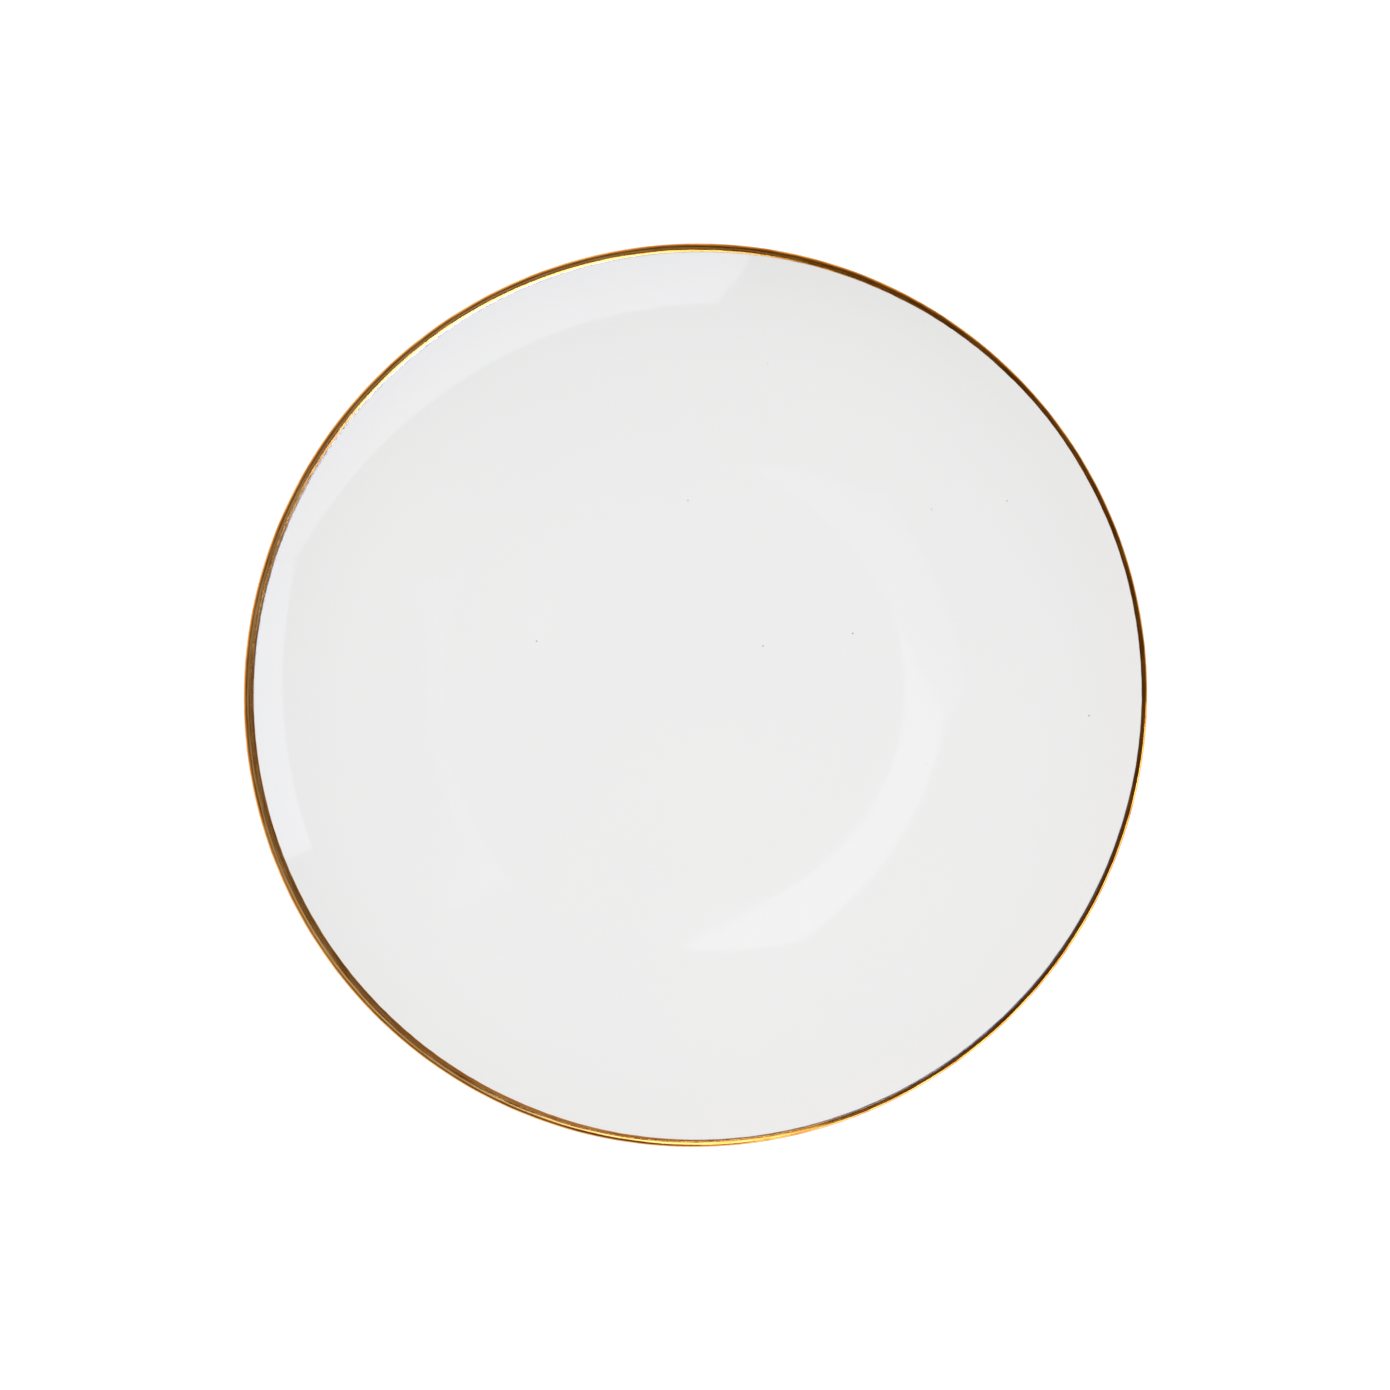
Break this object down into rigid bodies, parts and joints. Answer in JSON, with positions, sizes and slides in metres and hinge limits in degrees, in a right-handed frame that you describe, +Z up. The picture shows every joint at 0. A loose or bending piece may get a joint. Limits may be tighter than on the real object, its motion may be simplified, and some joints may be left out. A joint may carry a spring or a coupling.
{
  "type": "dinner plate",
  "caption": "Round rimless bone-china dinner plate: flat well, softly curled rim, low foot ring, clear glaze and a thin gold line round the edge.",
  "frame": {"origin": "centre of the circle that the foot ring stands on, on the plane of its standing face", "axes": "+Z up out of the well along the plate's axis; X and Y lie in the standing plane, with +X towards the side where the gold line is narrowest"},
  "size_m": [0.27, 0.27, 0.025],
  "materials": {
    "fired_clay": "matte",
    "glaze": "gloss",
    "gold": "polished"
  },
  "bodies": {
    "root": {"china_body": "fired_clay", "glaze_coat": "glaze", "foot_recess_glaze": "glaze", "gold_band": "gold"}
  },
  "joints": []
}
